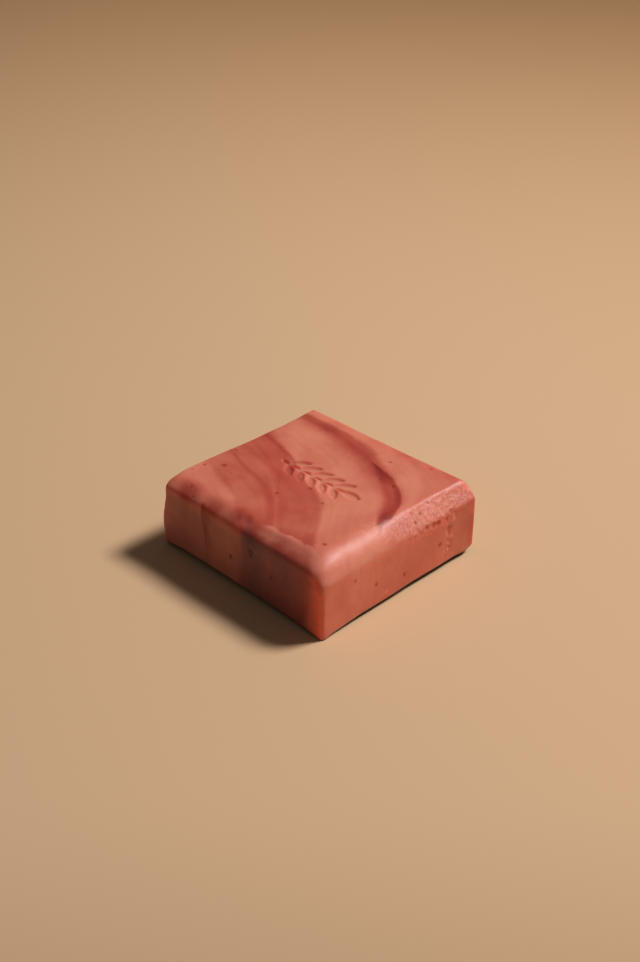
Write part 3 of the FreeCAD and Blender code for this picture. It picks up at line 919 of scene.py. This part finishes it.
def wire_film_and_sheen(wiring, place):
    """How thick the pale shavings and painted sheen are: even in front, where it is mostly a painted sheen,
    and patchy where the edge tore.
    """
    waver = wiring.math("SUBTRACT", wiring.noise(place, 260, 4, 0.62), 0.5)
    planed = wiring.math("ADD", wiring.stored("planed"), wiring.scaled(waver, 5))
    planed = wiring.rise(planed, -1.0, 1.2)
    patchy = wiring.rise(wiring.noise(place, 1000, 4, 0.7), 0.42, 0.58, 0.25, 1.1)
    even = wiring.rise(wiring.noise(place, 150, 4, 0.6), 0.36, 0.62, 0.25, 0.95)
    torn_share = wiring.stored("torn_share")
    thickness = wiring.total(
        wiring.math("MULTIPLY", patchy, torn_share),
        wiring.math("MULTIPLY", even, wiring.math("SUBTRACT", 1, torn_share)),
    )
    film_and_sheen = wiring.scaled(wiring.math("MULTIPLY", planed, thickness), 0.5)
    # Painted sheen: a pale reflection laid on the worn front edge.
    worn = wiring.math("ADD", wiring.stored("worn_front"), wiring.scaled(waver, 4))
    worn = wiring.math("MULTIPLY", wiring.rise(worn, -0.2, 0.6), wiring.rise(worn, 2.2, 5.0, 1.0, 0.0))
    worn = wiring.math("MULTIPLY", wiring.scaled(worn, 0.4), wiring.stored("worn_share"))
    flakes = wiring.rise(wiring.noise(place, 900, 4, 0.7), 0.48, 0.64)
    torn = wiring.scaled(wiring.math("MULTIPLY", wiring.stored("crumbly"), flakes), 0.3)
    chips = wiring.scaled(wiring.stored("chip"), 0.7)
    clots = wiring.rise(wiring.noise(place, 420, 4, 0.65), 0.46, 0.6)
    smear = wiring.math("MULTIPLY", clots, wiring.scaled(wiring.stored("smear"), 0.9))
    for other in (torn, worn, chips, smear):
        film_and_sheen = wiring.math("MAXIMUM", film_and_sheen, other)
    return film_and_sheen


def wire_specks(wiring, place, grain):
    """How dark the crumbs and the tiny grains are, with painted shade in the torn hollows."""
    fray = wiring.scaled(wiring.math("SUBTRACT", wiring.noise(place, 1500, 3), 0.5), 1.8)
    crumbs = wiring.rise(wiring.math("ADD", wiring.stored("crumb"), fray), 0.2, 1.5, 0.68, 0.0)
    # Painted shade in the torn hollows, in the crumbs' colour.
    specks = wiring.math("MAXIMUM", crumbs, wiring.scaled(wiring.stored("painted_hollow_shade"), 0.35))
    return wiring.math("MAXIMUM", specks, wiring.scaled(grain["Grains"], 0.3))


def make_soap_material(settings):
    """Marbled soap: sheets of red through salmon, dark crumbs, pale shavings and a painted sheen on the
    planed edge, painted shade on the front side, in the torn hollows and under the foot, and painted light
    at the front right corner.
    """
    material = bpy.data.materials.new("Marbled soap")
    material.use_nodes = True
    tree = material.node_tree
    tree.nodes.clear()
    wiring = Wiring(tree)
    place = wiring.add("ShaderNodeTexCoord").outputs["Object"]
    uneven = wiring.group(make_unevenness_group(), {"Vector": place, "Flow": wiring.stored("flow")})
    grain = wiring.group(make_grain_group(), {"Vector": place, "Grain size": 1.0})

    colour = wire_marbling(wiring, uneven, settings)
    # Pale shavings and a painted sheen on the planed and worn edges.
    colour = wiring.mix(wire_film_and_sheen(wiring, place), colour, (*settings.film_and_sheen, 1.0))
    specks = wire_specks(wiring, place, grain)
    colour = wiring.mix(specks, colour, (*settings.crumb, 1.0))
    # Painted shade on the front side and edges, with some dulled soap, in a grey-blue dark colour.
    blotches = wiring.rise(uneven["Fray"], 0.3, 0.7, 0.75, 1.25)
    dull_and_painted_shade = wiring.math("MULTIPLY", wiring.stored("dull_and_painted_shade"), blotches, clamp=True)
    colour = wiring.mix(dull_and_painted_shade, colour, (*settings.dirt_and_painted_shade, 1.0))
    # Painted light: the orange of light shining through the soap, mixed in at the front right corner and
    # along the right side.
    colour = wiring.mix(wiring.scaled(wiring.stored("painted_glow"), 0.85), colour, (*settings.painted_glow, 1.0))
    # Painted shade on the underside of the foot.
    colour = wiring.mix(wiring.stored("foot"), colour, (*settings.foot, 1.0))

    roughness = wiring.rise(grain["Height"], 0.3, 0.7, 0.46, 0.58)
    bump = wiring.add(
        "ShaderNodeBump", {"Strength": 0.4, "Distance": 0.12 * MM, "Height": grain["Height"]}
    )
    # Crumbs and hollows shine less than the cut soap.
    shine = wiring.math("SUBTRACT", 0.5, wiring.scaled(specks, 0.6), clamp=True)
    shader = wiring.add(
        "ShaderNodeBsdfPrincipled",
        {
            "Base Color": colour, "Roughness": roughness, "Normal": bump.outputs["Normal"],
            "Specular IOR Level": shine, "IOR": 1.46, "Subsurface Weight": 0.75,
            "Subsurface Radius": (1.0, 0.2, 0.1), "Subsurface Scale": settings.glow_depth,
        },
    )
    output = wiring.add("ShaderNodeOutputMaterial")
    tree.links.new(shader.outputs["BSDF"], output.inputs["Surface"])
    return material


class SOAP_OT_bar(bpy.types.Operator):
    """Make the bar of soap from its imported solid"""
    bl_idname = "soap.make_bar"
    bl_label = "Make the bar of soap"

    def execute(self, context):
        settings = context.scene.soap
        bar = copy_solid()
        apply_modifier(bar, "REMESH", "Even mesh", mode="VOXEL", voxel_size=settings.mesh_size)
        write_points(bar, roll_planed_edge(read_points(bar)))
        round_edges(bar, settings.rounding)
        write_points(bar, run_out_of_true(read_points(bar)))
        roughen(bar, settings)
        mark_surface(bar)
        write_points(bar, keep_in_place(read_points(bar)))
        thin_mesh(bar, settings.most_triangles)
        bar.vertex_groups.clear()
        store_marbling(bar)
        store_spots(bar)
        store_wear(bar)
        store_planing(bar)
        bar.data.materials.append(make_soap_material(settings))
        select_only(bar)
        bpy.ops.object.shade_smooth()
        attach(bar, "root")
        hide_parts("soap_bar")
        return {"FINISHED"}


def make_floor_material(settings):
    """Plain matt paper, with painted shade: coloured a little darker far behind the bar, to its right and
    close in front.
    """
    material = bpy.data.materials.new("Floor")
    material.use_nodes = True
    tree = material.node_tree
    wiring = Wiring(tree)
    place = wiring.add("ShaderNodeTexCoord").outputs["Object"]
    turn = settings.azimuth

    def along(x, y):
        """How far the floor's points lie along a way."""
        return wiring.add(
            "ShaderNodeVectorMath", {0: place, 1: (x, y, 0)}, operation="DOT_PRODUCT"
        ).outputs["Value"]

    away = along(-math.sin(turn), math.cos(turn))
    aside = along(math.cos(turn), math.sin(turn))
    # Painted shade: darker far behind the bar.
    colour = wiring.mix(wiring.rise(away, 0.05, 0.9), (*settings.floor, 1.0), (*settings.floor_far_painted_shade, 1.0))
    # Painted shade: darker to the right and behind, and close in front.
    outer = wiring.math("ADD", aside, wiring.math("MULTIPLY", away, 0.35))
    close = wiring.rise(away, -0.19, -0.1, 0.3, 0.0)
    dim = wiring.math("MAXIMUM", wiring.rise(outer, 0.02, 0.75, 0.0, 0.75), close)
    colour = wiring.mix(dim, colour, (*settings.floor_dim_painted_shade, 1.0))
    shader = tree.nodes["Principled BSDF"]
    tree.links.new(colour, shader.inputs["Base Color"])
    shader.inputs["Roughness"].default_value = 0.9
    shader.inputs["Specular IOR Level"].default_value = 0.1
    return material


def add_lamp(name, azimuth, elevation, distance, size, power):
    """A square lamp aimed at the bar. Azimuth 0 is +X and 90 is +Y, in degrees."""
    turn, rise = math.radians(azimuth), math.radians(elevation)
    way = Vector((math.cos(turn) * math.cos(rise), math.sin(turn) * math.cos(rise), math.sin(rise)))
    lamp = bpy.data.lights.new(name, "AREA")
    lamp.shape = "SQUARE"
    lamp.size = size
    lamp.energy = power
    item = bpy.data.objects.new(name, lamp)
    item.location = way * distance
    item.rotation_euler = way.to_track_quat("Z", "Y").to_euler()
    bpy.context.scene.collection.objects.link(item)


def add_camera(settings):
    """The camera, placed by angles round the bar and stepped sideways and up."""
    turn, rise = settings.azimuth, settings.elevation
    back = Vector((math.sin(turn) * math.cos(rise), -math.cos(turn) * math.cos(rise), math.sin(rise)))
    right = Vector((0, 0, 1)).cross(back).normalized()
    up = back.cross(right)
    lens = bpy.data.cameras.new("Camera")
    lens.lens = settings.lens
    lens.sensor_width = 36.0
    lens.clip_start = 0.01
    camera = bpy.data.objects.new("Camera", lens)
    place = back * settings.distance + right * settings.shift_right + up * settings.shift_up
    camera.matrix_world = Matrix.Translation(place) @ Matrix((right, up, back)).transposed().to_4x4()
    bpy.context.scene.collection.objects.link(camera)
    bpy.context.scene.camera = camera


class SOAP_OT_stage(bpy.types.Operator):
    """Make the floor, the lamp and the camera"""
    bl_idname = "soap.make_stage"
    bl_label = "Make the stage"

    def execute(self, context):
        settings = context.scene.soap_stage
        bpy.ops.object.select_all(action="DESELECT")
        bpy.ops.mesh.primitive_plane_add(size=FLOOR_WIDTH)
        floor = context.object
        floor.name = "floor"
        floor.data.materials.append(make_floor_material(settings))
        add_lamp("Key", KEY_AZIMUTH, KEY_ELEVATION, KEY_DISTANCE, settings.key_size, settings.key_power)
        world = bpy.data.worlds.new("Sky")
        world.use_nodes = True
        background = world.node_tree.nodes["Background"]
        background.inputs["Color"].default_value = SKY_TINT
        background.inputs["Strength"].default_value = settings.sky
        context.scene.world = world
        context.scene.view_settings.view_transform = "Standard"
        add_camera(settings)
        return {"FINISHED"}


class SOAP_PT_panel(bpy.types.Panel):
    """Lists the steps and their settings"""
    bl_label = "Soap"
    bl_idname = "SOAP_PT_panel"
    bl_space_type = "VIEW_3D"
    bl_region_type = "UI"
    bl_category = "Soap"

    def draw(self, context):
        for settings, operator in (
            (context.scene.soap_stage, SOAP_OT_stage), (context.scene.soap, SOAP_OT_bar),
        ):
            box = self.layout.box()
            for name in settings.bl_rna.properties.keys():
                if name not in ("rna_type", "name"):
                    box.prop(settings, name)
            box.operator(operator.bl_idname)


CLASSES = (SoapSettings, StageSettings, SOAP_OT_stage, SOAP_OT_bar, SOAP_PT_panel)


def register():
    for item in CLASSES:
        bpy.utils.register_class(item)
    bpy.types.Scene.soap = bpy.props.PointerProperty(type=SoapSettings)
    bpy.types.Scene.soap_stage = bpy.props.PointerProperty(type=StageSettings)


def unregister():
    del bpy.types.Scene.soap_stage
    del bpy.types.Scene.soap
    for item in reversed(CLASSES):
        bpy.utils.unregister_class(item)


def main():
    register()
    bpy.ops.soap.make_stage()
    bpy.ops.soap.make_bar()


if __name__ == "__main__":
    main()
